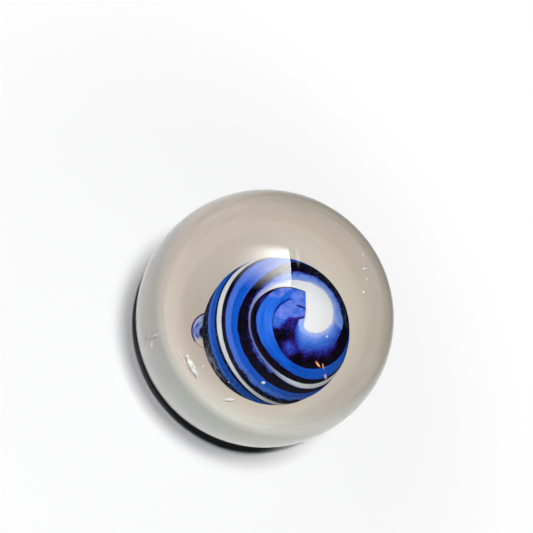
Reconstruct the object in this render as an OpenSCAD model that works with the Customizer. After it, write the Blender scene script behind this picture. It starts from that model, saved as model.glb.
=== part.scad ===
// Glass ball with a coloured swirl inside, in the way that a glassworker builds one: a small dark
// core is wound with blue, pale blue and white trails, and the whole is cased in clear glass.
//
// Lengths are in millimetres and angles in degrees. The origin is the ball's centre. +Z is the
// axis that the trails wind about, and the white head of the swirl faces +Z.

/* [Ball] */
// Diameter of the finished ball
ball_d = 25; // [18:0.5:50]

/* [Core] */
// Diameter of the coloured core
core_d = 9.5; // [8:0.1:12]
// Core centre from the ball's centre, along X
core_x = 0.8; // [-1.5:0.05:1.5]
// Core centre from the ball's centre, along Y
core_y = -0.75; // [-1.5:0.05:1.5]
// Core centre from the ball's centre, along Z
core_z = 0.1; // [-1.5:0.05:1.5]

/* [Trails] */
// How deep the trails are pressed into the core
trail_depth = 0.4; // [0.2:0.05:0.8]
// Usual width of the blue trail
blue_w = 1.2; // [0.9:0.05:1.35]
// Usual width of the pale blue trail
pale_w = 1; // [0.6:0.05:1.2]
// Usual width of the white trail
white_w = 0.42; // [0.25:0.01:0.55]

/* [White head] */
// Radius of the round side of the head
head_r = 2.1; // [1.8:0.05:2.3]
// Distance from the winding axis to the straight side of the head
head_flat = 0.6; // [0.4:0.05:1]
// Radius of the corner between the two sides
head_corner = 0.6; // [0.3:0.05:0.8]

/* [Tail] */
// Radius of the film of glass that lifts off the core at the end of its winding
tail_r = 1.2; // [0.8:0.05:1.6]
// Thickness of the film
tail_t = 0.3; // [0.2:0.05:0.5]
// How far the film stands off the core
tail_reach = 0.7; // [0.4:0.05:1]

/* [Seeds] */
// Depth of the seed bubbles' centres below the ball's surface
seed_depth = 0.8; // [0.6:0.05:1.5]

/* [Hidden] */
$fn = 96;

ball_r = ball_d / 2;
core_r = core_d / 2;

// A trail's table has one row for each sixth of a turn: [polar angle of the trail's middle,
// its width as a share of the usual width]. The trail is a smooth curve through the rows.
ROW_ANGLE = 60;
// Azimuth of each table's first row, counted on from turn to turn
BLUE_AZIMUTH = 500;
PALE_AZIMUTH = 255;
WHITE_AZIMUTH = 425;
BLUE_ROWS = [
    [22, 1.2], [46.6, 1.2], [58, 0.7], [65, 1], [66, 1], [64.5, 1.1], [63.5, 1.6], [80.5, 1],
    [90.5, 1], [94, 0.9], [95, 0.8], [94, 0.8], [97, 1], [107.5, 0.9], [118, 1], [128, 0.7]
];
PALE_ROWS = [[30, 1.1], [31, 1.4], [31, 1.4], [29, 1.45], [37.6, 1], [60.5, 0.4], [72, 0.5]];
WHITE_ROWS = [
    [15, 2.6], [23, 2.9], [55.5, 1], [67.5, 0.8], [78, 1.1], [81, 1], [80, 1], [81.5, 1.2],
    [92, 1.2], [103, 0.8], [114, 1.3], [119, 0.6]
];
// The blue patch inside the hook of the head has rows at a third of the usual step
PATCH_ROW_ANGLE = 20;
PATCH_AZIMUTH = 480;
PATCH_ROWS = [[13, 0.2], [14.5, 1.1], [16.5, 1.5], [18.5, 1.8], [21.5, 2.15], [16, 1.25], [13, 0.2]];

// Angle from one ring of a trail to the next, and how far its sides run past its faces
RING_ANGLE = 10;
overrun = 0.35;

// Where the tail film leaves the core, and how far its plane is turned from the meridian
TAIL_AZIMUTH = 178;
TAIL_POLAR = 128;
TAIL_LEAN = 62;

// Seed bubbles: [azimuth, polar angle, radius, length between the round ends, lean of the length]
SEEDS = [
    [200, 102, 0.26, 3.4, 170], [203, 105, 0.14, 0.5, 40], [221, 85, 0.36, 1.7, 82],
    [213, 88, 0.13, 0, 0], [224, 80, 0.15, 0.3, 20], [243, 81, 0.22, 0.7, 144],
    [26, 18, 0.2, 0.9, 10], [45, 22, 0.13, 0.3, 60], [8, 16, 0.12, 0, 0], [340, 15, 0.14, 0.2, 0]
];

// Point at radius r in the direction of a polar angle and an azimuth
function at(r, polar, azimuth) =
    r * [sin(polar) * cos(azimuth), sin(polar) * sin(azimuth), cos(polar)];

// Column c of a table, u rows on from its first row, on a Catmull-Rom curve through the rows
function smooth(rows, u, c) =
    let (last = len(rows) - 1, i = min(floor(u), last - 1), f = u - i)
    let (p = rows[max(i - 1, 0)][c], q = rows[i][c], s = rows[i + 1][c])
    let (t = rows[min(i + 2, last)][c])
    q + f * ((s - p) / 2 + f * ((p - 2.5 * q + 2 * s - t / 2) + f * (1.5 * (q - s) + (t - p) / 2)));

// Angle that a width spans on the core's surface
function spanned(w) = w / core_r * 180 / PI;

// Cutter for a trail: one four-sided ring for each step of azimuth, skinned into a closed band
module band(rows, from, step, w) {
    rings = (len(rows) - 1) * step / RING_ANGLE;
    low = core_r - trail_depth - overrun;
    high = core_r + overrun;
    corners = [
        for (i = [0 : rings])
            let (u = i * RING_ANGLE / step, azimuth = from + i * RING_ANGLE)
            let (polar = smooth(rows, u, 0), half = spanned(w * smooth(rows, u, 1)) / 2)
            for (c = [[low, -half], [low, half], [high, half], [high, -half]])
                at(c[0], polar + c[1], azimuth)
    ];
    sides = [
        for (i = [0 : rings - 1], k = [0 : 3])
            let (a = 4 * i + k, b = 4 * i + (k + 1) % 4)
            for (face = [[a, b, b + 4], [a, b + 4, a + 4]]) face
    ];
    last = 4 * rings;
    polyhedron(corners, concat(sides, [[3, 2, 1, 0], [last, last + 1, last + 2, last + 3]]));
}

// Leaves only what lies outside the depth that the trails are pressed to
module trench() {
    difference() {
        union() children();
        sphere(core_r - trail_depth);
    }
}

// Keeps what lies in the skin of the core, as deep as the trails are pressed in
module pressed() {
    intersection() {
        sphere(core_r);
        trench() children();
    }
}

// Cutter for the white trail: its winding, and the head with one straight side
module white_cutter() {
    band(WHITE_ROWS, WHITE_AZIMUTH, ROW_ANGLE, white_w);
    linear_extrude(core_r + overrun) offset(head_corner) offset(-head_corner) intersection() {
        circle(head_r);
        translate([-head_flat, -head_r]) square(2 * head_r);
    }
}

module blue_cutter() {
    band(BLUE_ROWS, BLUE_AZIMUTH, ROW_ANGLE, blue_w);
    band(PATCH_ROWS, PATCH_AZIMUTH, PATCH_ROW_ANGLE, blue_w);
}

module pale_cutter() {
    band(PALE_ROWS, PALE_AZIMUTH, ROW_ANGLE, pale_w);
}

// Moves what is built about the core's own centre to its place in the ball
module in_ball() {
    translate([core_x, core_y, core_z]) children();
}

// The round film of glass, sunk edge-on into the core
module film() {
    rotate([0, TAIL_POLAR, TAIL_AZIMUTH]) rotate([90, 0, TAIL_LEAN])
        translate([0, core_r + tail_reach - tail_r, 0]) cylinder(h = tail_t, r = tail_r, center = true);
}

// One bubble with round ends, lying under the ball's surface
module seed(azimuth, polar, r, length, lean) {
    rotate([0, polar, azimuth]) translate([0, 0, ball_r - seed_depth]) rotate([0, 90, lean]) {
        if (length > 0) cylinder(h = length, r = r, center = true);
        for (side = [-1, 1]) translate([0, 0, side * length / 2]) sphere(r);
    }
}

// Clear glass round the core, with its seed bubbles
module clear_casing() {
    color([0.86, 0.84, 0.8, 0.35]) difference() {
        sphere(ball_r);
        in_ball() {
            sphere(core_r);
            film();
        }
        for (s = SEEDS) seed(s[0], s[1], s[2], s[3], s[4]);
    }
}

// Near-black glass at the heart, which shows as the dark lines between the trails
module dark_core() {
    color([0.03, 0.03, 0.08]) in_ball() difference() {
        sphere(core_r);
        trench() white_cutter();
        trench() blue_cutter();
        trench() pale_cutter();
    }
}

module blue_trail() {
    color([0.05, 0.27, 0.78]) in_ball() difference() {
        pressed() blue_cutter();
        white_cutter();
    }
}

module pale_trail() {
    color([0.4, 0.52, 0.9]) in_ball() difference() {
        pressed() pale_cutter();
        white_cutter();
    }
}

// The white trail lies over the others, and its start is the head that faces +Z
module white_trail() {
    color([0.93, 0.93, 0.94]) in_ball() pressed() white_cutter();
}

// Film of glass that stands off the core where the winding ends
module tail_film() {
    color([0.45, 0.55, 0.85]) in_ball() difference() {
        film();
        sphere(core_r);
    }
}

clear_casing();
dark_core();
blue_trail();
pale_trail();
white_trail();
tail_film();
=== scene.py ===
"""A cased glass marble with a swirl core, on a pale floor in soft studio light.

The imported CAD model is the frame. Each of its glasses is replaced by a finer mesh of the same
form. The coloured trails are laid on the core by the same tables of angles as the CAD model's.
Lengths are in metres, apart from what the meshes' points carry for the shaders, in millimetres.
"""

import math

import bmesh
import bpy
from mathutils import Matrix, Vector, noise


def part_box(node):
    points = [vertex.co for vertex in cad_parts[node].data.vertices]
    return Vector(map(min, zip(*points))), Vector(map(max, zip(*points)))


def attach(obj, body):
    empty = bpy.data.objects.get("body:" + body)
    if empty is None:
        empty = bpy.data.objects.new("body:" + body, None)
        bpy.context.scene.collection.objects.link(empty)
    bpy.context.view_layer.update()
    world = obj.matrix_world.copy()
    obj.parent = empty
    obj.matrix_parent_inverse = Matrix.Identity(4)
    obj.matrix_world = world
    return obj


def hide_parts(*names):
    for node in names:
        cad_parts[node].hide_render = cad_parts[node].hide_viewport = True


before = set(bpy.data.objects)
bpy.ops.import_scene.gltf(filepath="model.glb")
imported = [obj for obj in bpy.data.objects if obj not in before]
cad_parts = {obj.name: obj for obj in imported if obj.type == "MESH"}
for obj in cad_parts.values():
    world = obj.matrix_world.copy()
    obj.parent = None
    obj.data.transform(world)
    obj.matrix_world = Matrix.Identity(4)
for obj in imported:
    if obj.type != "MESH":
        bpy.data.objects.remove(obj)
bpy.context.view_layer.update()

MM = 0.001


# -------- sizes from the frame

def joint_box(*nodes):
    """Lowest and highest corner of several CAD nodes together."""
    boxes = [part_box(name) for name in nodes]
    low = Vector([min(box[0][i] for box in boxes) for i in range(3)])
    high = Vector([max(box[1][i] for box in boxes) for i in range(3)])
    return low, high


# The part's origin is the centre of the ball
ball_low, ball_high = joint_box("clear_casing")
BALL_R = min(ball_high - ball_low) / 2
core_low, core_high = joint_box("dark_core", "blue_trail", "pale_trail", "white_trail")
CORE_CENTRE = (core_low + core_high) / 2
CORE_R = min(core_high - core_low) / 2


# -------- the winding, as in part.scad

# One row for each sixth of a turn: polar angle of the trail's middle, share of its usual width
ROW_ANGLE = 60
BLUE_AZIMUTH, PALE_AZIMUTH, WHITE_AZIMUTH = 500, 255, 425
BLUE_W, PALE_W, WHITE_W = 1.2 * MM, 1.0 * MM, 0.42 * MM
BLUE_ROWS = [
    (22, 1.2), (46.6, 1.2), (58, 0.7), (65, 1), (66, 1), (64.5, 1.1), (63.5, 1.6), (80.5, 1),
    (90.5, 1), (94, 0.9), (95, 0.8), (94, 0.8), (97, 1), (107.5, 0.9), (118, 1), (128, 0.7),
]
PALE_ROWS = [(30, 1.1), (31, 1.4), (31, 1.4), (29, 1.45), (37.6, 1), (60.5, 0.4), (72, 0.5)]
WHITE_ROWS = [
    (15, 2.6), (23, 2.9), (55.5, 1), (67.5, 0.8), (78, 1.1), (81, 1), (80, 1), (81.5, 1.2),
    (92, 1.2), (103, 0.8), (114, 1.3), (119, 0.6),
]
# The patch inside the hook of the head has rows at a third of the usual step
PATCH_ROW_ANGLE = 20
PATCH_AZIMUTH = 480
PATCH_ROWS = [(13, 0.2), (14.5, 1.1), (16.5, 1.5), (18.5, 1.8), (21.5, 2.15), (16, 1.25), (13, 0.2)]

# The white head of the winding: a round with one straight side and two rounded corners
HEAD_R = 2.1 * MM
HEAD_FLAT = 0.6 * MM
HEAD_CORNER = 0.6 * MM
HALVINGS = 30

# Seed bubbles: azimuth, polar angle, radius, length between the round ends, lean of the length
SEED_DEPTH = 0.8 * MM
SEEDS = [
    (200, 102, 0.26, 3.4, 170), (203, 105, 0.14, 0.5, 40), (221, 85, 0.36, 1.7, 82),
    (213, 88, 0.13, 0, 0), (224, 80, 0.15, 0.3, 20), (243, 81, 0.22, 0.7, 144),
    (26, 18, 0.2, 0.9, 10), (45, 22, 0.13, 0.3, 60), (8, 16, 0.12, 0, 0), (340, 15, 0.14, 0.2, 0),
]

# White flecks on the core: polar angle, azimuth, radius
FLECKS = [(87, 255.5, 0.15), (119.6, 238.4, 0.09), (29.4, 313.8, 0.08)]

# The film that lifts off the core where the winding ends
TAIL_AZIMUTH, TAIL_POLAR, TAIL_LEAN = 178, 128, 62
TAIL_R, TAIL_T, TAIL_REACH = 1.2 * MM, 0.3 * MM, 0.7 * MM
# Direction across the film, from its clear half to its streaked half
TAIL_CLEAR = Vector((-0.45, 0.8, 0.1))

# How far each glass lies under the core's own radius, so that the later trail covers the earlier
HEART_SINK = 0.05 * MM
BLUE_SINK = 0.03 * MM
PALE_SINK = 0.02 * MM
WHITE_SINK = 0.01 * MM
TRAIL_DEPTH = 0.25 * MM

# Grain of the meshes
BALL_SPLITS, BUBBLE_SPLITS, FLECK_SPLITS = 7, 4, 3
RING_ANGLE = 1.25
ACROSS = 24
PATCH_ACROSS = 60
HEAD_SPOKES = 160
HEAD_RINGS = 32
FILM_SEGMENTS, FILM_RINGS = 96, 48
# Length of a ring along a trail, roughly, and of a trail's round end, in millimetres
RING_LENGTH, END_LENGTH = 0.12, 0.5
# How far the edges of the trails wander, and how often for each millimetre
UNEVEN, WHITE_UNEVEN, PALE_UNEVEN = 0.03 * MM, 0.02 * MM, 0.07 * MM
WANDER = 1.7

# Size of the fine grain in the coloured glass, in millimetres
FINE_GRAIN = 0.12


def direction(polar, azimuth):
    """Unit vector at a polar angle and an azimuth, in degrees."""
    p, a = math.radians(polar), math.radians(azimuth)
    return Vector((math.sin(p) * math.cos(a), math.sin(p) * math.sin(a), math.cos(p)))


def smooth(rows, u, column):
    """A table's column, u rows on from its first row, on a Catmull-Rom curve through the rows."""
    last = len(rows) - 1
    i = min(int(u), last - 1)
    f = u - i
    p, q, s, t = (rows[min(max(i + k, 0), last)][column] for k in (-1, 0, 1, 2))
    cubic = 1.5 * (q - s) + (t - p) / 2
    return q + f * ((s - p) / 2 + f * ((p - 2.5 * q + 2 * s - t / 2) + f * cubic))


def bump_curve(x, centre, spread):
    """A bell from 0 to 1 about a centre."""
    return math.exp(-((x - centre) / spread) ** 2)


def fade(x, low, high):
    """0 at low, 1 at high, with a smooth step between."""
    share = min(max((x - low) / (high - low), 0), 1)
    return share * share * (3 - 2 * share)


# -------- where the glass changes colour

# Polar angle of the white head's edge
HEAD_EDGE = math.degrees(math.asin(HEAD_R / CORE_R))
# Rows of (polar angle, azimuth): the fine navy arc across the patch, the edge of the dark hook
# inside it, and the short dash beside the head
ARC = [(14, 160), (22.5, 172.3), (30.3, 184.2), (37.5, 197.7), (42.7, 208.4), (46, 222)]
HOOK = [(11.9, 235), (19.5, 219), (26.7, 213), (31.5, 217), (38.5, 219), (44, 214), (48, 205)]
DASH = [(15.5, 187), (11.2, 193), (8.4, 207)]


def azimuth_on(line, polar):
    """Azimuth of a line of (polar angle, azimuth) rows at a polar angle, and its slope there."""
    i = min(sum(polar > row[0] for row in line[1:-1]), len(line) - 2)
    (p, a), (q, b) = line[i], line[i + 1]
    return a + (polar - p) * (b - a) / (q - p), (b - a) / (q - p)


def offset_from(line, polar, azimuth):
    """Distance on the core from a line, in millimetres, above 0 where the azimuth is smaller."""
    on_line, slope = azimuth_on(line, polar)
    stretch = math.sin(math.radians(polar))
    across = math.radians(on_line - azimuth % 360) * stretch
    return across / math.hypot(1, slope * stretch) * CORE_R / MM


def glow_at(polar, azimuth):
    """Blue light round the head: 1 beside it. It fades outwards from azimuth 180 to 350."""
    turned = azimuth % 360
    beside = 0.14 * math.exp((HEAD_EDGE - polar) / 2)
    if not 180 < turned < 350:
        return 0.86 + beside
    far = 0.86 * min(max(1 - (polar - HEAD_EDGE) / 23, 0), 1)
    return (far + beside) * fade(turned - (polar - HEAD_EDGE), 227, 257)


def dash_offset(polar, azimuth):
    """Distance from the short dark dash beside the head, in millimetres."""
    here = direction(polar, azimuth)
    corners = [direction(*corner) for corner in DASH]
    nearest = []
    for start, end in zip(corners, corners[1:]):
        along = end - start
        share = min(max((here - start).dot(along) / along.length_squared, 0), 1)
        nearest.append((here - start - along * share).length)
    return min(nearest) * CORE_R / MM


# -------- mesh helpers

def paint_faces_from(builder, first):
    """Gives the second material to the faces from this one on."""
    builder.faces.ensure_lookup_table()
    for face in builder.faces[first:]:
        face.material_index = 1


def new_builder(*attributes):
    """An empty bmesh whose points carry these named numbers for the shaders."""
    builder = bmesh.new()
    for name in attributes:
        builder.verts.layers.float.new(name)
    return builder


def mark(builder, point, **numbers):
    """Gives a point its numbers."""
    for name, value in numbers.items():
        point[builder.verts.layers.float[name]] = value
    return point


def add_point(builder, place, **numbers):
    """A new point with its numbers."""
    return mark(builder, builder.verts.new(place), **numbers)


def join_rows(builder, rows):
    """Faces between neighbouring rows of points."""
    for row, following in zip(rows, rows[1:]):
        for corners in zip(row, following, following[1:], row[1:]):
            builder.faces.new(corners)


def turn(degrees, axis):
    """A turn about an axis."""
    return Matrix.Rotation(math.radians(degrees), 4, axis)


def add_ball(builder, splits, radius):
    """An even ball of triangles that are split this often. Returns its points."""
    return bmesh.ops.create_icosphere(builder, subdivisions=splits, radius=radius)["verts"]


def outwards(azimuth, polar):
    """Turns +Z towards an azimuth and a polar angle, in degrees."""
    return turn(azimuth, "Z") @ turn(polar, "Y")


def link_object(name, data):
    """An object of this data, in the scene."""
    made = bpy.data.objects.new(name, data)
    bpy.context.scene.collection.objects.link(made)
    return made


def make_object(name, builder, material, offset=(0, 0, 0)):
    """A smooth-shaded object from a bmesh."""
    bmesh.ops.translate(builder, verts=builder.verts, vec=offset)
    builder.normal_update()
    mesh = bpy.data.meshes.new(name)
    builder.to_mesh(mesh)
    builder.free()
    for polygon in mesh.polygons:
        polygon.use_smooth = True
    mesh.materials.append(material)
    return link_object(name, mesh)


def add_piece(piece, slot, *nodes):
    """Attaches a piece to the root body and hides the CAD nodes that it stands for. Its slot is not
    used.
    """
    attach(piece, "root")
    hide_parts(*nodes)


# -------- shader helpers

def make_material(fill, name=None):
    """A material, named after the function that fills its node tree or by a name of its own."""
    material = bpy.data.materials.new(name or fill.__name__)
    material.use_nodes = True
    fill(material.node_tree, material.node_tree.nodes["Principled BSDF"])
    return material


def feed(tree, node, inputs):
    """Feeds a node's inputs, by name or number, with sockets or plain values."""
    for key, value in dict(inputs).items():
        socket = node.inputs[key]
        if isinstance(value, bpy.types.NodeSocket):
            tree.links.new(value, socket)
        elif socket.type == "RGBA":
            socket.default_value = (*value, 1)
        else:
            socket.default_value = value


def add_node(tree, kind, inputs=(), **settings):
    """A new node with these inputs and settings."""
    made = tree.nodes.new("ShaderNode" + kind)
    for name, value in settings.items():
        setattr(made, name, value)
    feed(tree, made, inputs)
    return made


def grey(level):
    """A grey, from black at 0 to white at 1."""
    return (level, level, level)


def number(tree, name):
    """A number that the mesh's points carry."""
    return add_node(tree, "Attribute", attribute_name=name).outputs["Fac"]


def maths(tree, operation, *values, clamp=False):
    """An operation on numbers."""
    made = add_node(tree, "Math", enumerate(values), operation=operation, use_clamp=clamp)
    return made.outputs["Value"]


def times(tree, first, *others):
    """The product of numbers."""
    for value in others:
        first = maths(tree, "MULTIPLY", first, value)
    return first


def scaled(tree, value, factor, added):
    """A number times a factor, plus another number."""
    return maths(tree, "MULTIPLY_ADD", value, factor, added)


def about_zero(tree, noisy):
    """Noise about 0.5 as noise about 0."""
    return maths(tree, "SUBTRACT", noisy, 0.5)


def vector_maths(tree, operation, first, second):
    """An operation on a vector and another vector, or a number where it scales."""
    inputs = {0: first, "Scale" if operation == "SCALE" else 1: second}
    made = add_node(tree, "VectorMath", inputs, operation=operation)
    return made.outputs["Value" if operation == "DISTANCE" else "Vector"]


def parts_of(tree, vector):
    """A vector's X, Y and Z."""
    return add_node(tree, "SeparateXYZ", {0: vector}).outputs


def between(tree, value, low, high):
    """0 below low, 1 above high, with a smooth step between."""
    inputs = {"Value": value, "From Min": low, "From Max": high}
    return add_node(tree, "MapRange", inputs, interpolation_type="SMOOTHSTEP").outputs["Result"]


def blend(tree, share, first, second):
    """Mixes two colours."""
    return add_node(tree, "Mix", {0: share, 6: first, 7: second}, data_type="RGBA").outputs[2]


def paint(tree, colour, over, *shares):
    """A colour with another one painted over it, as far as the product of these shares."""
    return blend(tree, times(tree, *shares), colour, over)


def brighten(tree, colour, factor):
    """A colour times a number."""
    return vector_maths(tree, "SCALE", colour, factor)


def ramp(tree, value, *stops):
    """A colour ramp through (place, colour) stops."""
    made = add_node(tree, "ValToRGB", {"Fac": value})
    elements = made.color_ramp.elements
    while len(elements) < len(stops):
        elements.new(0.5)
    for element, (place, colour) in zip(elements, stops):
        element.position = place
        element.color = (*colour, 1)
    return made.outputs["Color"]


def point_of(tree, *coordinates):
    """A vector from its three numbers."""
    return add_node(tree, "CombineXYZ", enumerate(coordinates)).outputs["Vector"]


def place_of(tree):
    """Place on the object, in metres."""
    return add_node(tree, "TexCoord").outputs["Object"]


def object_point(tree):
    """Place on the object, in millimetres."""
    return vector_maths(tree, "SCALE", place_of(tree), 1 / MM)


def ray_is(tree, kind):
    """1 for rays of a kind, such as Camera or Shadow, 0 for others."""
    return add_node(tree, "LightPath").outputs[f"Is {kind} Ray"]


def undiffused(tree):
    """1 for rays that no matt surface has scattered on their way, 0 for others."""
    depth = add_node(tree, "LightPath").outputs["Diffuse Depth"]
    return maths(tree, "LESS_THAN", depth, 0.5)


def cloud(tree, place, scale, detail=3.0, roughness=0.55):
    """Noise about 0.5."""
    inputs = {"Vector": place, "Scale": scale, "Detail": detail, "Roughness": roughness}
    return add_node(tree, "TexNoise", inputs).outputs["Fac"]


def specks(tree, place, scale, size):
    """1 in small scattered dots, 0 elsewhere."""
    dots = add_node(tree, "TexVoronoi", {"Vector": place, "Scale": scale})
    return between(tree, dots.outputs["Distance"], size, size * 0.4)


def trail_point(tree, stretch):
    """Place on a trail, in millimetres, drawn out along it by a factor."""
    along = maths(tree, "DIVIDE", number(tree, "along"), stretch)
    return point_of(tree, along, number(tree, "outer_gap"), 0.0)


def grain_of(tree, place, coarse, fine):
    """Noise about 0, with some of a coarse size and some of a fine one, in millimetres."""
    big = about_zero(tree, cloud(tree, place, 1 / coarse))
    small = about_zero(tree, cloud(tree, place, 1 / fine, roughness=0.7))
    return maths(tree, "ADD", big, small)


def ragged_gap(tree, name, depth):
    """Distance from a trail's edge, in millimetres, made uneven by noise of this depth."""
    uneven = grain_of(tree, object_point(tree), 0.45, FINE_GRAIN)
    return scaled(tree, uneven, depth, number(tree, name))


def fused_glass(tree, bsdf, colour):
    """Coloured glass fused into clear glass: no air lies between them, so it has no gloss."""
    feed(tree, bsdf, {"Base Color": colour, "Roughness": 0.4, "Specular IOR Level": 0.0})


# -------- colours, linear

BLACK = (0.0008, 0.0006, 0.003)
INK = (0.004, 0.002, 0.012)
BROWN_BLACK = (0.009, 0.005, 0.016)
BROWN_INK = (0.014, 0.01, 0.022)
VIOLET = (0.035, 0.014, 0.2)
NAVY = (0.001, 0.004, 0.24)
GRIMY_BLUE = (0.002, 0.022, 0.2)
COBALT = (0.004, 0.1, 0.62)
DEEP_COBALT = (0.002, 0.07, 0.5)
AZURE = (0.025, 0.15, 0.74)
SKY = (0.06, 0.175, 0.76)
WORN_BLUE = (0.09, 0.22, 0.56)
HALO = (0.15, 0.28, 0.79)
NEAR_HEAD = (0.29, 0.4, 0.82)
LAVENDER = (0.4, 0.48, 0.82)
MILK = (0.77, 0.8, 0.84)
# Flecks and wisps in the murk low on the core
FLECK_BLUE = (0.26, 0.33, 0.5)
WISP_GREY = (0.48, 0.5, 0.6)
# Tints of the clear glass, and what a metre of it leaves of white light
CLEAR_WARM, CLEAR_GREEN, CLEAR_LILAC = (1, 0.965, 0.915), (0.975, 1, 0.97), (0.94, 0.905, 0.945)
SMOKE, SMOKE_DENSITY = (0.8, 0.79, 0.775), 56.0
# The darker and the lighter milky white of a seed bubble's skin: a painted reflection for the light
# that the bubble mirrors
BUBBLE_SHEEN_DIM, BUBBLE_SHEEN_BRIGHT = (0.84, 0.84, 0.79), (0.95, 0.95, 0.91)


def glow_colour(tree, glow):
    """Colour of the light round the head, from black by violet and deep blue to pale blue."""
    return ramp(
        tree, glow,
        (0, BLACK), (0.09, (0.005, 0.002, 0.025)), (0.19, (0.018, 0.008, 0.13)),
        (0.31, (0.022, 0.03, 0.33)), (0.48, (0.03, 0.1, 0.56)), (0.68, (0.065, 0.185, 0.7)),
        (0.86, HALO), (1, NEAR_HEAD),
    )


# -------- materials

GLASS_IOR = 1.52
# What lamp light keeps as it enters the casing, which gives the ball its shadow
SHADOW_TINT = 0.01
# Slow waves in the casing's surface
WAVE_STRENGTH, WAVE_HEIGHT = 0.25, 0.06 * MM


def clear_glass(tree, bsdf):
    """Polished, faintly smoky glass with slow swirls in it."""
    place = object_point(tree)
    swirl = cloud(tree, place, 0.13, detail=2.0)
    tint = ramp(tree, swirl, (0.34, CLEAR_WARM), (0.5, CLEAR_GREEN), (0.64, CLEAR_LILAC))
    height = cloud(tree, place, 0.22, detail=1.5)
    waves = {"Strength": WAVE_STRENGTH, "Distance": WAVE_HEIGHT, "Height": height}
    feed(tree, bsdf, {
        "Base Color": tint, "Transmission Weight": 1.0, "Roughness": 0.0, "IOR": GLASS_IOR,
        "Normal": add_node(tree, "Bump", waves).outputs["Normal"],
    })
    smoke = add_node(tree, "VolumeAbsorption", {"Color": SMOKE, "Density": SMOKE_DENSITY})
    output = tree.nodes["Material Output"]
    feed(tree, output, {"Surface": unbent_for_lamps(tree, bsdf), "Volume": smoke.outputs["Volume"]})


def unbent_for_lamps(tree, bsdf):
    """The glass, with a plain clear stand-in for the light that lamps send through it."""
    inside = add_node(tree, "NewGeometry").outputs["Backfacing"]
    clear = {"Color": blend(tree, inside, grey(SHADOW_TINT), grey(1))}
    stand_in = add_node(tree, "BsdfTransparent", clear).outputs["BSDF"]
    either = {0: ray_is(tree, "Shadow"), 1: bsdf.outputs["BSDF"], 2: stand_in}
    return add_node(tree, "MixShader", either).outputs["Shader"]


def dark_glass(tree, bsdf):
    """Near-black glass: brownish mottles, grey-blue murk lower down, a blue glow by the head."""
    place = object_point(tree)
    low = number(tree, "low")
    mottle = cloud(tree, place, 2.2, detail=5.0, roughness=0.7)
    colour = ramp(tree, mottle, (0.42, BLACK), (0.58, INK), (0.75, BROWN_INK))
    murk = ramp(
        tree, mottle,
        (0.38, (0.002, 0.004, 0.014)), (0.52, (0.01, 0.014, 0.035)), (0.64, (0.03, 0.04, 0.085)),
    )
    colour = paint(tree, colour, murk, low)
    colour = paint(tree, colour, FLECK_BLUE, specks(tree, place, 3.4, 0.24), low, 0.85)
    colour = paint(tree, colour, WISP_GREY, between(tree, mottle, 0.4, 0.56), number(tree, "wisp"))
    glow = scaled(tree, grain_of(tree, place, 0.7, 0.14), 0.55, number(tree, "glow"))
    colour = paint(tree, colour, glow_colour(tree, glow), between(tree, glow, 0.04, 0.14))
    fused_glass(tree, bsdf, colour)


def blue_glass(tree, bsdf):
    """Cobalt glass: plain at first, then streaked along the trail, worn in places low down."""
    place = object_point(tree)
    streak = cloud(tree, trail_point(tree, 9.0), 3.0, detail=4.0)
    paleness = number(tree, "paleness")
    colour = blend(tree, paleness, plain_blue(tree, streak), streaked_blue(tree, streak))
    start = scaled(tree, grain_of(tree, place, 0.5, FINE_GRAIN), 0.6, number(tree, "start"))
    colour = paint(tree, colour, patch_colour(tree, place), between(tree, start, 0.3, 0.6))
    worn = number(tree, "worn")
    mottle = cloud(tree, place, 3.2, detail=5.0, roughness=0.7)
    colour = paint(tree, colour, WORN_BLUE, worn, between(tree, mottle, 0.5, 0.62), 0.55)
    colour = paint(tree, colour, GRIMY_BLUE, worn, between(tree, mottle, 0.46, 0.34), 0.75)
    colour = brighten(tree, colour, scaled(tree, cloud(tree, place, 7.0, roughness=0.7), 0.7, 0.65))
    tear = scaled(tree, worn, 0.9, 0.12)
    torn = times(tree, grain_of(tree, place, 0.6, FINE_GRAIN), tear)
    outer = maths(tree, "ADD", number(tree, "outer_gap"), torn)
    gap = maths(tree, "MINIMUM", ragged_gap(tree, "inner_gap", 0.07), outer)
    edge = ramp(tree, between(tree, gap, 0.0, 0.1), (0, BLACK), (0.5, VIOLET), (1, DEEP_COBALT))
    fused_glass(tree, bsdf, blend(tree, between(tree, gap, 0.04, 0.1), edge, colour))


def plain_blue(tree, streak):
    """The blue of the first turn, with painted light: lighter on the marble's left, and a painted
    reflection lightens it near azimuth 325.
    """
    plain = ramp(tree, streak, (0.3, (0, 0.06, 0.46)), (0.5, COBALT), (0.68, (0.01, 0.12, 0.68)))
    light = ramp(tree, streak, (0.3, COBALT), (0.5, AZURE), (0.68, (0.045, 0.18, 0.8)))
    return paint(tree, plain, light, number(tree, "painted_light"))


def streaked_blue(tree, streak):
    """The blue of the later turns, which is paler towards the trail's outer side."""
    side = scaled(tree, about_zero(tree, streak), 0.45, number(tree, "side"))
    return ramp(
        tree, side, (0, AZURE), (0.14, COBALT), (0.38, COBALT), (0.46, DEEP_COBALT),
        (0.54, AZURE), (0.72, (0.075, 0.19, 0.78)), (0.9, SKY), (1, (0.05, 0.12, 0.66)),
    )


def patch_colour(tree, place):
    """Mottled violet-blue."""
    return ramp(
        tree, cloud(tree, place, 1.7, detail=5.0, roughness=0.6),
        (0.32, (0.015, 0.09, 0.58)), (0.44, (0.06, 0.15, 0.68)), (0.54, (0.13, 0.19, 0.7)),
        (0.66, (0.12, 0.25, 0.8)),
    )


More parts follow.
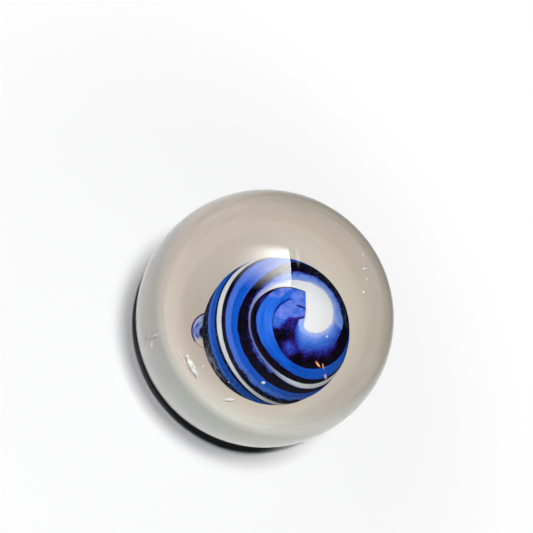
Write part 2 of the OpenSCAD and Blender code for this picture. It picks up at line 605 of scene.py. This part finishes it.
def blue_patch_glass(tree, bsdf):
    """The patch in the hook of the head: violet-blue inside its navy arc, cobalt outside."""
    place = object_point(tree)
    mottle = cloud(tree, place, 1.7, detail=5.0, roughness=0.6)
    outside = ramp(tree, mottle, (0.35, COBALT), (0.65, (0.03, 0.15, 0.72)))
    uneven = grain_of(tree, place, 0.5, FINE_GRAIN)
    drawn = number(tree, "drawn")
    arc = scaled(tree, uneven, 0.08, number(tree, "arc"))
    colour = paint(tree, patch_colour(tree, place), outside, between(tree, arc, -0.05, 0.05), drawn)
    line = between(tree, maths(tree, "ABSOLUTE", arc), 0.13, 0.02)
    colour = paint(tree, colour, NAVY, line, drawn)
    dash = scaled(tree, uneven, 0.12, number(tree, "dash"))
    colour = paint(tree, colour, (0.01, 0.008, 0.2), between(tree, dash, 0.13, 0.02))
    hook = scaled(tree, uneven, 0.3, number(tree, "hook"))
    shade = ramp(
        tree, hook, (0, (0.03, 0.03, 0.42)), (0.12, VIOLET), (0.35, (0.022, 0.012, 0.11)),
        (0.8, (0.01, 0.005, 0.04)),
    )
    fused_glass(tree, bsdf, paint(tree, colour, shade, between(tree, hook, -0.06, 0.06)))


def pale_blue_glass(tree, bsdf):
    """Soft pale blue glass: light beside the head, deeper below it, with a speckled violet edge."""
    grain = grain_of(tree, object_point(tree), 0.6, 0.13)
    colour = glow_colour(tree, scaled(tree, grain, 0.3, number(tree, "glow")))
    veil = cloud(tree, trail_point(tree, 5.0), 2.4)
    colour = paint(tree, colour, (0.2, 0.34, 0.85), between(tree, veil, 0.55, 0.75))
    gap = scaled(tree, grain, 0.7, number(tree, "outer_gap"))
    gap = maths(tree, "ADD", gap, number(tree, "blurred"))
    edge = ramp(
        tree, between(tree, gap, 0.0, 0.55),
        (0, BLACK), (0.18, VIOLET), (0.4, (0.03, 0.07, 0.48)), (0.8, (0.07, 0.17, 0.7)),
    )
    fused_glass(tree, bsdf, blend(tree, between(tree, gap, 0.2, 0.6), edge, colour))


def white_glass(tree, bsdf):
    """White glass: the head melts into pale blue on its round side, the first turn is bluish."""
    melt = times(tree, grain_of(tree, object_point(tree), 0.5, FINE_GRAIN), 0.5)
    melt = scaled(tree, melt, number(tree, "softness"), number(tree, "melt"))
    colour = ramp(
        tree, melt, (0, MILK), (0.2, (0.7, 0.74, 0.83)), (0.42, LAVENDER),
        (0.7, (0.33, 0.43, 0.82)), (1, NEAR_HEAD),
    )
    veil = scaled(tree, cloud(tree, trail_point(tree, 7.0), 3.0), 0.16, 0.92)
    veil = times(tree, veil, scaled(tree, number(tree, "thin"), -0.5, 1.0))
    colour = brighten(tree, colour, veil)
    line = maths(tree, "SUBTRACT", ragged_gap(tree, "inner_gap", 0.03), number(tree, "dark_edge"))
    fused_glass(tree, bsdf, paint(tree, colour, BROWN_BLACK, between(tree, line, 0.02, -0.02)))


def film_glass(tree, bsdf):
    """A see-through lavender film with dark blue streaks, a dark root and a dark rim."""
    reach, hole = number(tree, "reach"), number(tree, "hole")
    place = point_of(tree, times(tree, reach, 5.0), times(tree, number(tree, "turn"), 0.7), 0.0)
    streak = cloud(tree, place, 1.2, detail=2.0)
    colour = ramp(
        tree, streak, (0.4, (0.01, 0.035, 0.28)), (0.47, (0.12, 0.2, 0.6)),
        (0.54, (0.34, 0.42, 0.78)), (0.68, (0.5, 0.6, 0.9)),
    )
    root = scaled(tree, about_zero(tree, streak), 0.8, number(tree, "root"))
    rooted = between(tree, root, 0.3, 0.55)
    rim = between(tree, reach, 0.84, 0.97)
    colour = paint(tree, colour, (0.004, 0.004, 0.03), rooted)
    fused_glass(tree, bsdf, paint(tree, colour, (0.03, 0.012, 0.12), rim))
    thick = maths(tree, "MAXIMUM", rim, rooted)
    thick = maths(tree, "MAXIMUM", thick, between(tree, streak, 0.6, 0.44))
    kept_rim = times(tree, rim, between(tree, hole, 1.0, 0.6))
    holed = times(tree, hole, maths(tree, "SUBTRACT", 1.0, kept_rim), 0.8)
    alpha = maths(tree, "SUBTRACT", scaled(tree, thick, 0.56, 0.42), holed, clamp=True)
    feed(tree, bsdf, {"Alpha": alpha})


def seed_skin_painted_sheen(tree, bsdf):
    """The skin of a seed bubble: glass that is milky in wisps, a painted reflection for the light
    that the bubble mirrors.
    """
    wisp = cloud(tree, object_point(tree), 3.0, detail=4.0, roughness=0.6)
    sheen = ramp(tree, wisp, (0.3, BUBBLE_SHEEN_DIM), (0.7, BUBBLE_SHEEN_BRIGHT))
    clear = times(tree, between(tree, wisp, 0.68, 0.3), 0.45)
    feed(tree, bsdf, {
        "Base Color": sheen, "Transmission Weight": clear, "Roughness": 0.25, "IOR": GLASS_IOR,
    })


# -------- the object's pieces

def clear_ball():
    """The casing, as one smooth ball. Its seed bubbles are closed shells that face inwards."""
    builder = bmesh.new()
    add_ball(builder, BALL_SPLITS, BALL_R)
    ball_faces = len(builder.faces)
    for seed in SEEDS:
        add_bubble(builder, *seed)
    paint_faces_from(builder, ball_faces)
    piece = make_object("clear_glass_ball", builder, make_material(clear_glass))
    # The seed bubbles' skins carry a painted reflection
    piece.data.materials.append(make_material(seed_skin_painted_sheen))
    return piece


def add_bubble(builder, azimuth, polar, radius, length, lean):
    """One seed bubble under the ball's surface, with its faces turned to the air inside it."""
    made = add_ball(builder, BUBBLE_SPLITS, radius * MM)
    place = (
        outwards(azimuth, polar)
        @ Matrix.Translation((0, 0, BALL_R - SEED_DEPTH))
        @ turn(lean, "Z")
        @ turn(90, "Y")
        @ Matrix.Scale(1 + length / 2 / radius, 4, (0, 0, 1))
    )
    bmesh.ops.transform(builder, matrix=place, verts=made)
    faces = {face for vertex in made for face in vertex.link_faces}
    bmesh.ops.reverse_faces(builder, faces=list(faces))


def heart_glow(polar, azimuth):
    """Light in the core's own glass: beyond the pale glass, in the dark hook, in a lobe by it."""
    near_head = fade(polar, 60, 50) * fade(azimuth, 225, 240) * fade(azimuth, 345, 322)
    in_hook = 0.54 * fade(polar, 52, 44) * fade(azimuth, 165, 180)
    in_hook *= fade(azimuth - azimuth_on(HOOK, min(polar, 48))[0], 7, -4)
    violet = 0.15 * fade(polar, 44, 34) * fade(azimuth, 200, 212) * fade(azimuth, 262, 246)
    lobe = 0.42 * bump_curve(polar, 44.5, 7) * bump_curve(azimuth, 251, 12)
    return max(glow_at(polar, azimuth) * near_head, in_hook, violet, lobe)


def dark_heart():
    """The core under its trails. Its points say where it glows, and where it is murky or wispy."""
    builder = new_builder("glow", "low", "wisp")
    add_ball(builder, BALL_SPLITS, CORE_R - HEART_SINK)
    for point in builder.verts:
        polar = math.degrees(math.acos(point.co.normalized().z))
        azimuth = math.degrees(math.atan2(point.co.y, point.co.x)) % 360
        low = max(fade(polar, 86, 108), 0.8 * fade(polar, 64, 50) * fade(azimuth, 100, 60))
        wisp = bump_curve(polar, 131, 11) * bump_curve(azimuth, 216, 16)
        mark(builder, point, glow=heart_glow(polar, azimuth), low=low, wisp=wisp)
    return make_object("dark_heart", builder, make_material(dark_glass), CORE_CENTRE)


def taper(i, rings):
    """Share of the width that is left near a trail's two rounded ends."""
    near = min(i, rings - i) * RING_LENGTH / END_LENGTH
    return math.sqrt(max(1 - (1 - min(near, 1)) ** 2, 0.0004))


def add_trail(
    builder, rows, start, width, sink, numbers,
    row_angle=ROW_ANGLE, uneven=UNEVEN, across=ACROSS, seed=0.0,
):
    """A closed band of glass on a winding. numbers(azimuth, polar, side) gives its points' own."""
    rings = int((len(rows) - 1) * row_angle / RING_ANGLE)
    top, foot = CORE_R - sink, CORE_R - TRAIL_DEPTH
    grid, along, before = [], 0.0, None
    for i in range(rings + 1):
        u = i * RING_ANGLE / row_angle
        azimuth = start + i * RING_ANGLE
        polar = smooth(rows, u, 0)
        middle = direction(polar, azimuth) * top
        along += (middle - before).length / MM if before else 0.0
        before = middle
        ends = taper(i, rings)
        full = width * smooth(rows, u, 1)
        places = [Vector((along * WANDER, seed + k * 9.1, 0.0)) for k in (0, 1)]
        half = [(full / 2 * ends + noise.noise(place) * uneven * ends) / top for place in places]
        width_mm = full * ends / MM
        ring, feet = [], []
        for k in range(across + 1):
            side = (1 - math.cos(math.pi * k / across)) / 2
            angle = polar + math.degrees((half[0] + half[1]) * side - half[0])
            facts = {"along": along, "side": side, **numbers(azimuth, angle, side)}
            facts.update(inner_gap=side * width_mm, outer_gap=(1 - side) * width_mm)
            toward = direction(angle, azimuth)
            ring.append(add_point(builder, toward * top, **facts))
            if k in (0, across):
                feet.append(add_point(builder, toward * foot, **facts))
        grid.append(ring + feet[::-1])
    join_rows(builder, [ring + ring[:1] for ring in grid])
    builder.faces.new(grid[0])
    builder.faces.new(reversed(grid[-1]))


def blue_numbers(azimuth, polar, side):
    """The first turn is plain, the later ones are streaked, and worn on the far side, low down."""
    turned, here = azimuth - BLUE_AZIMUTH, azimuth % 360
    far_side = fade(polar, 80, 96) * fade(here, 215, 240) * fade(here, 330, 300)
    return {
        "paleness": fade(turned, 230, 290),
        "worn": max(far_side, fade(polar, 100, 120)),
        "start": fade(turned, 40, 22),
        # Painted light: lighter on the marble's left, and a painted reflection near azimuth 325
        "painted_light": max(fade(here, 245, 208), 0.7 * bump_curve(here, 325, 22)),
    }


def patch_numbers(azimuth, polar, side):
    """Places of the patch's navy arc, its dash, and the dark hook at its far end."""
    return {
        "arc": offset_from(ARC, polar, azimuth),
        "drawn": fade(polar, 19, 24),
        "dash": dash_offset(polar, azimuth),
        "hook": -offset_from(HOOK, polar, azimuth),
    }


def blue_swirl():
    """The broad blue winding, and the patch in the hook of the head with a material of its own."""
    builder = new_builder(
        "along", "side", "inner_gap", "outer_gap", "paleness", "worn", "start", "painted_light",
        "arc", "drawn", "dash", "hook",
    )
    add_trail(builder, BLUE_ROWS, BLUE_AZIMUTH, BLUE_W, BLUE_SINK, blue_numbers)
    band_faces = len(builder.faces)
    add_trail(
        builder, PATCH_ROWS, PATCH_AZIMUTH, BLUE_W, PALE_SINK, patch_numbers,
        row_angle=PATCH_ROW_ANGLE, across=PATCH_ACROSS, seed=3.0,
    )
    paint_faces_from(builder, band_faces)
    piece = make_object("blue_swirl", builder, make_material(blue_glass), CORE_CENTRE)
    piece.data.materials.append(make_material(blue_patch_glass))
    return piece


def pale_numbers(azimuth, polar, side):
    """The pale glass has no edge of its own where it starts, under the head."""
    return {"glow": glow_at(polar, azimuth), "blurred": 2 * fade(azimuth, 375, 335)}


def pale_swirl():
    """The pale blue band round the head, which thins into the winding."""
    builder = new_builder("along", "side", "inner_gap", "outer_gap", "glow", "blurred")
    add_trail(
        builder, PALE_ROWS, PALE_AZIMUTH, PALE_W, PALE_SINK, pale_numbers,
        uneven=PALE_UNEVEN, seed=5.0,
    )
    return make_object("pale_swirl", builder, make_material(pale_blue_glass), CORE_CENTRE)


def white_numbers(azimuth, polar, side):
    """How far the white has melted into blue, and how wide the dark line on its inner side is."""
    thin = fade(azimuth, 505, 550) * fade(azimuth, 650, 600)
    fringe = fade(azimuth, 475, 510) * fade(azimuth, 700, 600) * fade(side, 0.45, 1)
    dark = 0.13 * fade(azimuth, 465, 480) + 0.09 * fade(azimuth, 505, 545)
    return {
        "melt": min(0.42 * thin + 0.75 * fringe, 1),
        "softness": fringe,
        "dark_edge": dark * fade(azimuth, 640, 585),
        "thin": thin,
    }


def white_swirl():
    """The white winding with its head, and the few white flecks on the core."""
    builder = new_builder(
        "along", "side", "inner_gap", "outer_gap", "melt", "softness", "dark_edge", "thin",
    )
    add_trail(
        builder, WHITE_ROWS, WHITE_AZIMUTH, WHITE_W, WHITE_SINK, white_numbers,
        uneven=WHITE_UNEVEN,
    )
    add_head(builder)
    for fleck in FLECKS:
        add_fleck(builder, *fleck)
    return make_object("white_swirl", builder, make_material(white_glass), CORE_CENTRE)


def add_fleck(builder, polar, azimuth, radius):
    """A flattened crumb of white glass, half sunk into the core."""
    made = add_ball(builder, FLECK_SPLITS, radius * MM)
    place = (
        outwards(azimuth, polar)
        @ Matrix.Translation((0, 0, CORE_R))
        @ Matrix.Scale(0.4, 4, (0, 0, 1))
    )
    bmesh.ops.transform(builder, matrix=place, verts=made)
    for point in made:
        mark(builder, point, inner_gap=1.0)


def in_head(x, y):
    """Whether a point of the head's plane lies within its rounded outline."""
    left, radius = HEAD_CORNER - HEAD_FLAT, HEAD_R - HEAD_CORNER
    reach = math.hypot(x, y)
    near_x, near_y = x, y
    if reach > radius:
        near_x, near_y = x * radius / reach, y * radius / reach
    if near_x < left:
        corner = math.sqrt(radius**2 - left**2)
        near_x, near_y = left, min(max(y, -corner), corner)
    return math.hypot(x - near_x, y - near_y) <= HEAD_CORNER


def head_reach(angle):
    """Distance from the head's middle to its outline, found by halving."""
    near, far = 0.0, 2 * HEAD_R
    for _ in range(HALVINGS):
        half = (near + far) / 2
        inside = in_head(HEAD_FLAT + half * math.cos(angle), half * math.sin(angle))
        near, far = (half, far) if inside else (near, half)
    return near


def melt_width(azimuth):
    """How wide the head's melting edge is, in millimetres: broad below, narrow on the right."""
    turned = azimuth % 360
    broad = 0.36 * fade(turned, 242, 268) * fade(turned, 360, 330)
    narrow = 0.32 * (fade(turned, 320, 350) + fade(turned, 105, 80) * (turned < 180))
    fringe = 0.1 * fade(turned, 190, 215) * fade(turned, 262, 245)
    return max(broad, narrow, fringe)


def head_facts(gap, azimuth):
    """The numbers of a point of the head, gap millimetres inside its outline."""
    width = melt_width(azimuth)
    return {
        "melt": fade(gap, width, 0) if width > 0 else 0.0,
        "softness": min(4 * width, 1) * fade(gap, 2 * width + 0.01, 0),
        "inner_gap": 1.0,
    }


def add_head(builder):
    """The white head: a closed cap with a round side and a straight side."""
    foot = CORE_R - TRAIL_DEPTH
    rings = []
    for j in range(1, HEAD_RINGS + 1):
        share = math.sin(j / HEAD_RINGS * math.pi / 2)
        ring = []
        for k in range(HEAD_SPOKES):
            angle = 2 * math.pi * k / HEAD_SPOKES
            reach = head_reach(angle)
            x, y = HEAD_FLAT + reach * share * math.cos(angle), reach * share * math.sin(angle)
            place = (x, y, math.sqrt(CORE_R**2 - x**2 - y**2))
            facts = head_facts(reach * (1 - share) / MM, math.degrees(math.atan2(y, x)))
            ring.append(add_point(builder, place, **facts))
        rings.append(ring)
    middle = add_point(builder, (HEAD_FLAT, 0, math.sqrt(CORE_R**2 - HEAD_FLAT**2)), inner_gap=1.0)
    low_ring = []
    for point in rings[-1]:
        low_ring.append(add_point(builder, point.co.normalized() * foot, melt=1.0, inner_gap=1.0))
    rings.append(low_ring)
    low_middle = add_point(builder, middle.co.normalized() * foot, inner_gap=1.0)
    join_rows(builder, [ring + ring[:1] for ring in rings])
    for k in range(HEAD_SPOKES):
        builder.faces.new((middle, rings[0][k - 1], rings[0][k]))
        builder.faces.new((low_middle, low_ring[k], low_ring[k - 1]))


def tail_film():
    """A thin round film with a rounded rim, sunk edge-on into the core. Its later half is clear."""
    builder = new_builder("reach", "turn", "root", "hole")
    place = (
        outwards(TAIL_AZIMUTH, TAIL_POLAR)
        @ turn(TAIL_LEAN, "Z")
        @ turn(90, "X")
        @ Matrix.Translation((0, CORE_R + TAIL_REACH - TAIL_R, 0))
    )
    bmesh.ops.create_uvsphere(builder, u_segments=FILM_SEGMENTS, v_segments=FILM_RINGS, radius=1.0)
    for point in builder.verts:
        x, y, z = point.co
        root = bump_curve(x, 0.1, 0.35) * bump_curve(y, 0.25, 0.35)
        mark(builder, point, reach=math.hypot(x, y), turn=abs(math.atan2(x, y)), root=root)
        flat = math.copysign(abs(z) ** 0.6, z)
        point.co = Vector((x * TAIL_R, y * TAIL_R, flat * TAIL_T / 2))
    bmesh.ops.transform(builder, matrix=place, verts=builder.verts)
    middle = place @ Vector((0, 0, 0))
    for point in builder.verts:
        later = (middle - point.co).dot(TAIL_CLEAR) / TAIL_R
        mark(builder, point, hole=fade(later, -0.1, 0.35))
    return make_object("tail_film_glass", builder, make_material(film_glass), CORE_CENTRE)


# -------- camera

CAMERA_AZIMUTH = -50.5
CAMERA_ELEVATION = 47.0
CAMERA_ROLL = 59.0
CAMERA_LENS = 120.0
# Width of the ball and place of its centre in the square frame, as shares of the frame's width
BALL_SPAN = 0.484
BALL_RIGHT = -0.003
BALL_UP = -0.097


def add_camera():
    """Looks at the ball as the photograph does, with the ball at its size and place."""
    data = bpy.data.cameras.new("camera")
    camera = link_object("camera", data)
    data.lens = CAMERA_LENS
    a, e = math.radians(CAMERA_AZIMUTH), math.radians(CAMERA_ELEVATION)
    back = Vector((math.sin(a) * math.cos(e), -math.cos(a) * math.cos(e), math.sin(e)))
    frame_width = data.sensor_width / data.lens
    distance = BALL_R / math.sin(math.atan(BALL_SPAN / 2 * frame_width))
    level = (-back).to_track_quat("-Z", "Y").to_matrix()
    rolled = level @ Matrix.Rotation(math.radians(CAMERA_ROLL), 3, "Z")
    pan = Matrix.Rotation(math.atan(BALL_RIGHT * frame_width), 3, "Y")
    tilt = Matrix.Rotation(-math.atan(BALL_UP * frame_width), 3, "X")
    camera.location = back * distance
    camera.rotation_mode = "QUATERNION"
    camera.rotation_quaternion = (rolled @ pan @ tilt).to_quaternion()
    data.clip_start, data.clip_end = distance / 10, distance * 50
    bpy.context.scene.camera = camera


# -------- floor and light

FLOOR_R = 0.8
FLOOR_GREY = 0.97
# Where the floor stops taking light and shows the plain surroundings, straight and through glass
BARE_START, BARE_END = 1.8 * BALL_R, 4.0 * BALL_R
GLASS_BARE_START, GLASS_BARE_END = 1.1 * BALL_R, 2.1 * BALL_R
# Far from the ball, what it mirrors of the floor is darker
MIRRORED_GREY = 0.08
MIRRORED_START, MIRRORED_END = 1.6 * BALL_R, 5 * BALL_R
# Painted light: the warm patch of light that the ball gathers on the floor, and the part of the
# shadow that it fills
PATCH_CENTRE = (10.1 * MM, 7.6 * MM)
PATCH_R = 16 * MM
SHADOW_CENTRE = (6.5 * MM, 5.3 * MM)
SHADOW_INNER, SHADOW_OUTER = 7 * MM, 11.5 * MM
PATCH_WARM, PATCH_SAND, PATCH_GREEN = (0.79, 0.7, 0.61), (0.84, 0.775, 0.7), (0.85, 0.86, 0.8)
# Painted shadow: the paper is darker where the ball's shadow is darkest
UMBRA_CENTRE = (4.5 * MM, 3.0 * MM)
UMBRA_INNER, UMBRA_OUTER = 11.4 * MM, 12.1 * MM
PAINTED_UMBRA_GREY = 0.2
# Light of the surroundings on what they light, and on what the eye sees of them
AMBIENT = 0.02
BACKDROP = 1.0
# What shows through the glass far away: a warm brown on one side, a greenish grey on the other
THROUGH_WARM = (0.45, 0.42, 0.38)
THROUGH_GREY = (0.44, 0.43, 0.41)
THROUGH_GREEN = (0.48, 0.5, 0.47)

LAMP_DISTANCE = 1.0
# Lamps that light everything: direction from the ball, size, level
LAMPS = (("key", (-0.33, -0.23, 0.915), 0.2, 0.7), ("flash", (-0.458, -0.327, 0.827), 0.014, 0.41))
# Soft lamps that light the coloured glass alone: azimuth, elevation, level
SOFTBOX_SIZE = 0.8
SOFTBOXES = ((180, 20, 0.6), (110, 35, 0.3), (40, 35, 0.6), (-40, 35, 0.3))
CORE_PIECES = ("dark_heart", "blue_swirl", "pale_swirl", "white_swirl", "tail_film_glass")

CARD_DISTANCE = 0.35
CARD_STEPS = 24
# The window that the glass mirrors: azimuth and elevation of its corners, and its level
WINDOW_CORNERS = ((-179, 22), (-164, 75), (106, 48), (138, 19))
WINDOW_LEVEL = 17
# Small lamps that the glass mirrors: azimuth and elevation of both ends, width, level, colour
STRIPS = (
    ("sill", (97.5, 50.3), (109.6, 68.7), 3, 3, (1, 1, 1)),
    ("flame", (-61.4, 34.6), (-55, 28.7), 2, 24, (1, 0.42, 0.16)),
    ("flicker", (-53.9, 31.9), (-51, 26.2), 1.3, 16, (1, 0.5, 0.25)),
    ("ember", (-49.8, 22.5), (-46.6, 16.5), 2.5, 12, (1, 0.7, 0.62)),
)


def seen_straight(tree):
    """1 for rays that reach the lens by no matt surface, 0 for those that light the object."""
    seen = maths(tree, "MAXIMUM", ray_is(tree, "Camera"), ray_is(tree, "Glossy"))
    seen = maths(tree, "MAXIMUM", seen, ray_is(tree, "Transmission"))
    return times(tree, seen, undiffused(tree))


def reflected(tree):
    """1 for rays that the object mirrors. A ray through glass counts as glossy as well."""
    glossy, refracted = ray_is(tree, "Glossy"), ray_is(tree, "Transmission")
    return times(tree, maths(tree, "SUBTRACT", glossy, refracted, clamp=True), undiffused(tree))


def seen_far(tree, sideways):
    """What the eye sees far away, straight or through the glass. sideways is -1 to 1 along y."""
    share = scaled(tree, sideways, 0.5, 0.5)
    through = ramp(tree, share, (0.15, THROUGH_WARM), (0.5, THROUGH_GREY), (0.85, THROUGH_GREEN))
    return blend(tree, ray_is(tree, "Transmission"), grey(BACKDROP), through)


def distance_to(tree, middle):
    """Distance of a point of the floor from a place on it."""
    return vector_maths(tree, "DISTANCE", place_of(tree), (*middle, ball_low.z))


def gathered_light(tree):
    """Painted light on the floor where the ball gathers light, inside its own shadow."""
    place = place_of(tree)
    from_middle = parts_of(tree, vector_maths(tree, "SUBTRACT", place, (*PATCH_CENTRE, ball_low.z)))
    x = maths(tree, "DIVIDE", from_middle["X"], PATCH_R)
    y = maths(tree, "DIVIDE", from_middle["Y"], PATCH_R)
    away = vector_maths(tree, "DISTANCE", point_of(tree, x, times(tree, y, 0.3), 0.0), (0, 0, 0))
    level = ramp(
        tree, away, (0.05, grey(1)), (0.12, grey(0.83)), (0.22, grey(0.8)), (1, grey(0.52)),
    )
    in_shadow = between(tree, distance_to(tree, SHADOW_CENTRE), SHADOW_OUTER, SHADOW_INNER)
    level = times(tree, level, maths(tree, "MAXIMUM", in_shadow, ray_is(tree, "Transmission")))
    level = times(tree, level, scaled(tree, cloud(tree, place, 900.0), 0.36, 0.88))
    warmth = scaled(tree, y, 2.0, 0.36)
    warmth = scaled(tree, cloud(tree, place, 500.0, detail=2.0), 0.28, warmth)
    colour = ramp(tree, warmth, (0.45, PATCH_WARM), (0.6, PATCH_SAND), (0.9, PATCH_GREEN))
    return brighten(tree, colour, times(tree, level, seen_straight(tree)))


def floor_paper(tree, bsdf):
    """Pale matt paper with the gathered light painted on it, and a painted shadow. Far away it
    shows the surroundings.
    """
    away = distance_to(tree, (0, 0))
    through = ray_is(tree, "Transmission")
    looked_at = maths(tree, "SUBTRACT", seen_straight(tree), reflected(tree))
    start = scaled(tree, through, GLASS_BARE_START - BARE_START, BARE_START)
    end = scaled(tree, through, GLASS_BARE_END - BARE_END, BARE_END)
    bare = between(tree, away, start, end)
    unlit = times(tree, maths(tree, "MAXIMUM", bare, through), looked_at)
    # Painted shadow: the paper is darker where the ball's shadow is darkest
    painted_umbra = between(tree, distance_to(tree, UMBRA_CENTRE), UMBRA_OUTER, UMBRA_INNER)
    paper = blend(tree, painted_umbra, grey(FLOOR_GREY), grey(PAINTED_UMBRA_GREY))
    far = between(tree, away, MIRRORED_START, MIRRORED_END)
    paper = paint(tree, paper, grey(MIRRORED_GREY), far, reflected(tree))
    sideways = maths(tree, "DIVIDE", parts_of(tree, place_of(tree))["Y"], away)
    shown = paint(tree, gathered_light(tree), seen_far(tree, sideways), bare, looked_at)
    feed(tree, bsdf, {
        "Base Color": paint(tree, paper, grey(0), unlit), "Specular IOR Level": 0.0,
        "Emission Color": shown, "Emission Strength": 1.0,
    })


def add_floor():
    """A wide pale disc under the ball."""
    builder = bmesh.new()
    bmesh.ops.create_circle(builder, cap_ends=True, segments=128, radius=FLOOR_R)
    make_object("floor", builder, make_material(floor_paper, "floor"), (0, 0, ball_low.z))


def add_world():
    """White surroundings for the lens, and a dimmer room overhead for what the ball mirrors."""
    world = bpy.data.worlds.new("studio")
    bpy.context.scene.world = world
    world.use_nodes = True
    tree = world.node_tree
    toward = parts_of(tree, add_node(tree, "TexCoord").outputs["Generated"])
    room = ramp(tree, toward["Z"], (0, grey(0.26)), (0.25, grey(0.12)), (0.6, grey(0.04)))
    seen = blend(tree, reflected(tree), seen_far(tree, toward["Y"]), room)
    colour = blend(tree, seen_straight(tree), grey(AMBIENT), seen)
    feed(tree, tree.nodes["Background"], {"Color": colour})


def hide_from(thing, *rays):
    """Hides a lamp or a card from these kinds of rays."""
    for kind in rays:
        setattr(thing, "visible_" + kind, False)


def add_lamp(name, toward, size, level, lit=None):
    """A square lamp that lights white paper at the ball to a level. lit is all that it lights."""
    data = bpy.data.lights.new(name, "AREA")
    data.size = size
    data.energy = level * (math.pi * LAMP_DISTANCE) ** 2
    lamp = link_object(name, data)
    lamp.location = Vector(toward).normalized() * LAMP_DISTANCE
    lamp.rotation_mode = "QUATERNION"
    lamp.rotation_quaternion = (-lamp.location).to_track_quat("-Z", "Y")
    hide_from(lamp, "camera", "glossy", "transmission")
    lamp.light_linking.receiver_collection = lit


def add_softboxes():
    """Soft lamps round the ball. They leave the floor and its shadow alone."""
    coloured = bpy.data.collections.new("coloured_glass")
    for name in CORE_PIECES:
        coloured.objects.link(bpy.data.objects[name])
    for azimuth, elevation, level in SOFTBOXES:
        add_lamp(f"softbox_{azimuth}", compass(azimuth, elevation), SOFTBOX_SIZE, level, coloured)


def card_material(name, colour):
    """Light of a colour, as strong as the mesh's points say. It doesn't light matt surfaces."""
    def fill(tree, bsdf):
        tree.nodes.remove(bsdf)
        strength = times(tree, undiffused(tree), number(tree, "light"))
        glow = add_node(tree, "Emission", {"Color": colour, "Strength": strength})
        feed(tree, tree.nodes["Material Output"], {"Surface": glow.outputs["Emission"]})

    return make_material(fill, name)


def add_card(name, corners, brightness, colour=(1, 1, 1)):
    """A bright card that only reflections show. brightness gives its light at each (x, y)."""
    builder = new_builder("light")
    shares = [i / CARD_STEPS for i in range(CARD_STEPS + 1)]
    grid = []
    for x in shares:
        low, high = corners[0].lerp(corners[1], x), corners[3].lerp(corners[2], x)
        row = []
        for y in shares:
            place = low.lerp(high, y).normalized() * CARD_DISTANCE
            row.append(add_point(builder, place, light=brightness(x, y)))
        grid.append(row)
    join_rows(builder, grid)
    card = make_object(name, builder, card_material(name, colour))
    hide_from(card, "camera", "diffuse", "transmission", "shadow")


def compass(azimuth, elevation):
    """Unit vector towards an azimuth and an elevation, in degrees."""
    return direction(90 - elevation, azimuth)


def add_strip(name, start, end, width, level, colour):
    """A narrow card from one direction to another, this many degrees wide, soft at its edges."""
    start, end = compass(*start), compass(*end)
    half = start.cross(end).normalized() * math.tan(math.radians(width / 2))
    corners = [start - half, end - half, end + half, start + half]

    def soft(x, y):
        return level * math.sin(math.pi * x) * math.sin(math.pi * y)

    add_card(name, corners, soft, colour)


def window_light(x, y):
    """The window's light: it grows to the right, and fades below and towards its upper left."""
    slanted = fade(x, 0.2 * y - 0.2, 0.72 + 0.12 * y)
    return WINDOW_LEVEL * x * slanted * fade(y, 0, 0.5) * fade(y, 1, 0.75)


def add_reflections():
    """The tall window over the ball, a faint strip beyond it and small warm lamps beside it."""
    add_card("window", [compass(*corner) for corner in WINDOW_CORNERS], window_light)
    for strip in STRIPS:
        add_strip(*strip)


# -------- build

add_camera()
add_piece(clear_ball(), "clear_glass", "clear_casing")
add_piece(dark_heart(), "dark_glass", "dark_core")
add_piece(blue_swirl(), "blue_glass", "blue_trail")
add_piece(pale_swirl(), "pale_blue_glass", "pale_trail")
add_piece(white_swirl(), "white_glass", "white_trail")
add_piece(tail_film(), "film_glass", "tail_film")
add_floor()
add_world()
for lamp in LAMPS:
    add_lamp(*lamp)
add_softboxes()
add_reflections()

scene = bpy.context.scene
scene.view_settings.view_transform = "Standard"
scene.cycles.max_bounces = 24
scene.cycles.glossy_bounces = 12
scene.cycles.transmission_bounces = 24
